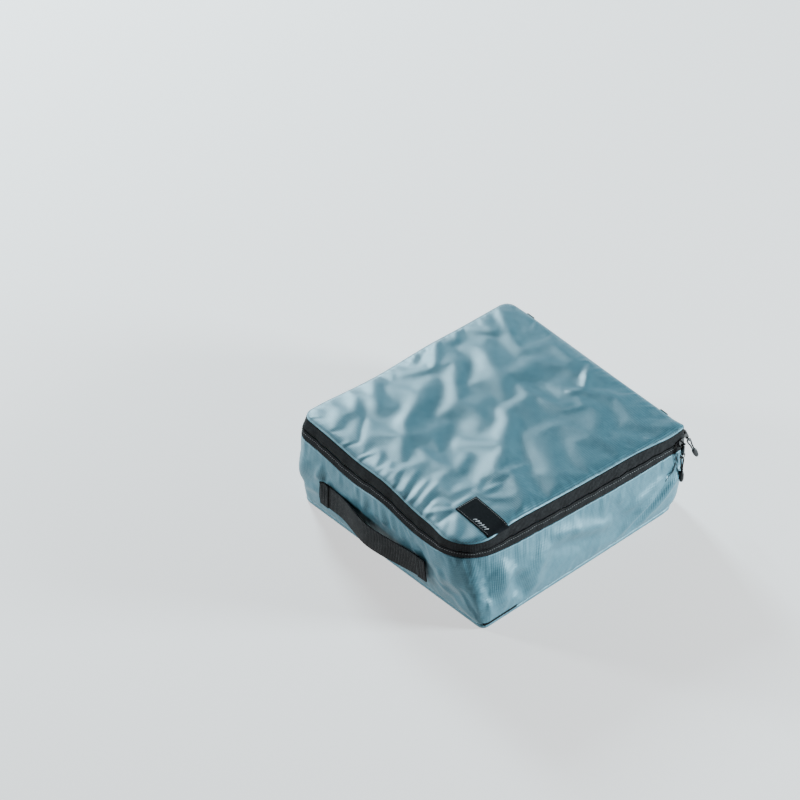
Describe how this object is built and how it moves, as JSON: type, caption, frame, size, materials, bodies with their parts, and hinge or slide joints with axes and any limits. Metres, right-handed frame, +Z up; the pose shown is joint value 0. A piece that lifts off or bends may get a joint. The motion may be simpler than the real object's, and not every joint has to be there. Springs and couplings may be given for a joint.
{
  "type": "packing cube",
  "caption": "Zipped soft fabric luggage organiser with a lid hinged along the back, two zip sliders with cord pulls, a side webbing handle and a plain label.",
  "frame": {"origin": "middle of the base, on the surface that the cube stands on", "axes": "+Z up, +Y to the back where the lid is hinged, -Y to the front with the webbing handle, +X to the side with the right-hand slider"},
  "size_m": [0.2765, 0.3273, 0.1035],
  "materials": {
    "shell_fabric": "light steel-blue coated nylon with a satin sheen, fine plain weave",
    "binding_tape": "black grosgrain binding",
    "zip_tape": "charcoal woven polyester zip tape",
    "zip_coil": "black nylon coil",
    "label_weave": "plain black damask-woven label with grey edge stitches",
    "handle_webbing": "charcoal ribbed polyester webbing",
    "slider_metal": "gloss black coated zinc",
    "pull_cord": "black braided cord",
    "moulded_end": "black moulded plastic"
  },
  "bodies": {
    "root": {"base_panel": "shell_fabric", "main_gusset": "shell_fabric", "back_panel": "shell_fabric", "base_binding": "binding_tape", "gusset_binding": "binding_tape", "corner_binding_right": "binding_tape", "corner_binding_left": "binding_tape", "hinge_binding": "binding_tape", "zip_tape_lower": "zip_tape", "zip_coil_lower": "zip_coil", "zip_tape_upper_end_right": "zip_tape", "zip_tape_upper_end_left": "zip_tape", "zip_coil_upper_end_right": "zip_coil", "zip_coil_upper_end_left": "zip_coil", "zip_end_tab_right": "binding_tape", "zip_end_tab_left": "binding_tape", "handle_end_left": "handle_webbing", "handle_end_right": "handle_webbing"},
    "lid": {"lid_panel": "shell_fabric", "zip_tape_upper": "zip_tape", "zip_coil_upper": "zip_coil", "lid_binding": "binding_tape", "side_label": "label_weave"},
    "handle": {"handle_grip": "handle_webbing"},
    "right_slider": {"slider_right": "slider_metal"},
    "right_pull": {"pull_tab_right": "slider_metal", "pull_ring_right": "slider_metal"},
    "right_cord": {"pull_cord_right": "pull_cord", "cord_end_right": "moulded_end"},
    "back_slider": {"slider_back": "slider_metal"},
    "back_pull": {"pull_tab_back": "slider_metal", "pull_ring_back": "slider_metal"},
    "back_cord": {"pull_cord_back": "pull_cord", "cord_end_back": "moulded_end"}
  },
  "joints": [
    {"name": "lid_hinge", "type": "hinge", "parent": "root", "child": "lid", "pos_m": [0, 0.1453, 0.0979], "axis": [-1, 0, 0], "range_deg": [0, 170]},
    {"name": "handle_swing", "type": "hinge", "parent": "root", "child": "handle", "pos_m": [-0.0085, -0.1469, 0.041], "axis": [-1, 0, 0], "range_deg": [0, 75]},
    {"name": "right_slider_travel", "type": "slide", "parent": "root", "child": "right_slider", "axis": [0, -1, 0], "range_m": [0, 0.233]},
    {"name": "right_pull_swing", "type": "hinge", "parent": "right_slider", "child": "right_pull", "pos_m": [0.13975, 0.1352, 0.085], "axis": [0, -1, 0], "range_deg": [0, 70]},
    {"name": "right_cord_swing", "type": "hinge", "parent": "right_pull", "child": "right_cord", "pos_m": [0.13975, 0.1352, 0.068], "axis": [0, -1, 0], "range_deg": [0, 45]},
    {"name": "back_slider_travel", "type": "slide", "parent": "root", "child": "back_slider", "axis": [-1, 0, 0], "range_m": [0, 0.013]},
    {"name": "back_pull_swing", "type": "hinge", "parent": "back_slider", "child": "back_pull", "pos_m": [0.1248, 0.15025, 0.085], "axis": [1, 0, 0], "range_deg": [-25, 45]},
    {"name": "back_cord_swing", "type": "hinge", "parent": "back_pull", "child": "back_cord", "pos_m": [0.1248, 0.15743, 0.06959], "axis": [1, 0, 0], "range_deg": [0, 45]}
  ]
}
